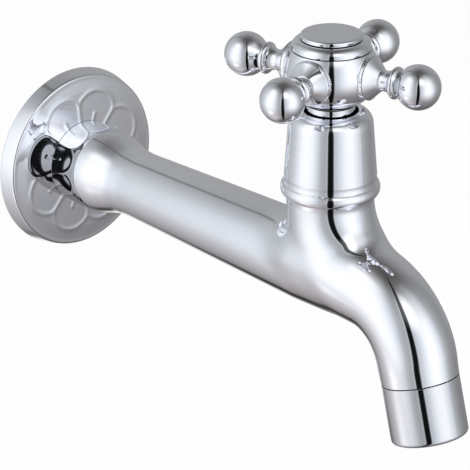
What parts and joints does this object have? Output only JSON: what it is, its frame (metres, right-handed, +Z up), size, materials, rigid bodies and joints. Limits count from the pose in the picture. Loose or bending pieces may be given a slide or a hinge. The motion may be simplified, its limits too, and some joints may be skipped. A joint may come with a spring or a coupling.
{
  "type": "washing machine tap",
  "caption": "Long wall-mounted bib tap with a round flange, a tapered barrel, a bell cover, a cross handle with ball ends and a short bent spout.",
  "frame": {"origin": "centre of the wall flange's back face, on the axis of the inlet thread and the barrel", "axes": "+X away from the wall along the barrel, +Z up along the valve and the handle"},
  "size_m": [0.1981, 0.07, 0.1215],
  "materials": {
    "chromed_casting": "polished chrome plate over a brass casting",
    "chromed_turning": "polished chrome plate over turned brass",
    "chromed_pressing": "polished chrome plate over pressed brass",
    "bare_brass": "turned brass, not plated",
    "zinc_steel": "zinc-plated steel",
    "steel_net": "woven stainless steel wire",
    "black_rubber": "moulded black rubber",
    "fibre": "pressed red fibre",
    "white_plastic": "moulded white acetal",
    "white_ceramic": "lapped alumina ceramic"
  },
  "bodies": {
    "root": {"wall_flange": "chromed_pressing", "tap_body": "chromed_casting", "seat_seal": "black_rubber", "fixed_ceramic_disc": "white_ceramic", "cartridge_body": "bare_brass", "cartridge_washer": "fibre", "bell_shroud": "chromed_turning", "outlet_sleeve": "chromed_turning", "outlet_washer": "black_rubber", "aerator_insert": "white_plastic", "aerator_net": "steel_net"},
    "handle": {"handle_hub": "chromed_turning", "spoke_front": "chromed_turning", "spoke_right": "chromed_turning", "spoke_back": "chromed_turning", "spoke_left": "chromed_turning", "handle_screw": "zinc_steel", "index_button": "chromed_turning", "spindle": "bare_brass", "spindle_o_rings": "black_rubber", "spindle_circlip": "zinc_steel", "thrust_washer": "white_plastic", "moving_ceramic_disc": "white_ceramic"}
  },
  "joints": [
    {"name": "handle_turn", "type": "hinge", "parent": "root", "child": "handle", "pos_m": [0.12593, 0, 0.0649], "axis": [0, 0, 1], "range_deg": [0, 90]}
  ]
}
